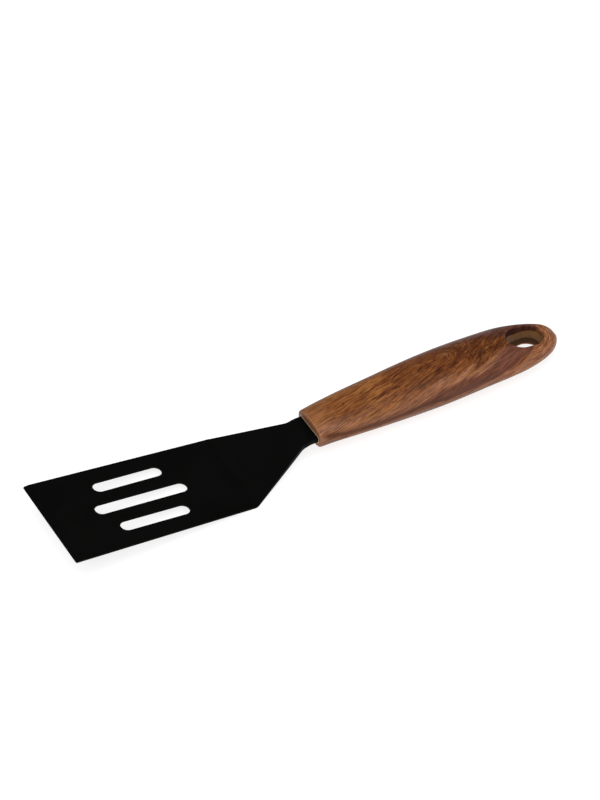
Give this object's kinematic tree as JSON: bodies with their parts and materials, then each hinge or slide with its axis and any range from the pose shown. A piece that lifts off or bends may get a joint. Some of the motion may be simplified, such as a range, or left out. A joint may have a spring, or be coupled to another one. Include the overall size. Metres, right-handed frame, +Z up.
{
  "type": "slotted spatula",
  "caption": "Slotted black spatula with a tapered blade, a cranked neck and a thick oval wood-effect handle with a hanging hole.",
  "frame": {"origin": "centre of the bounding box in X and Y, on the table that the spatula lies on", "axes": "+X from the blade's leading edge to the handle's end, +Y across to the spatula's left side when looking along +X, +Z up with the spatula resting on the heel of its blade and the belly of its handle"},
  "size_m": [0.273, 0.055, 0.0204],
  "materials": {
    "head": "satin black moulded nylon",
    "core": "satin tan moulded plastic",
    "grip": "satin wood-effect print in orange brown with dark red-brown grain"
  },
  "bodies": {
    "root": {"head": "head", "handle_core": "core", "handle_grip": "grip"}
  },
  "joints": []
}
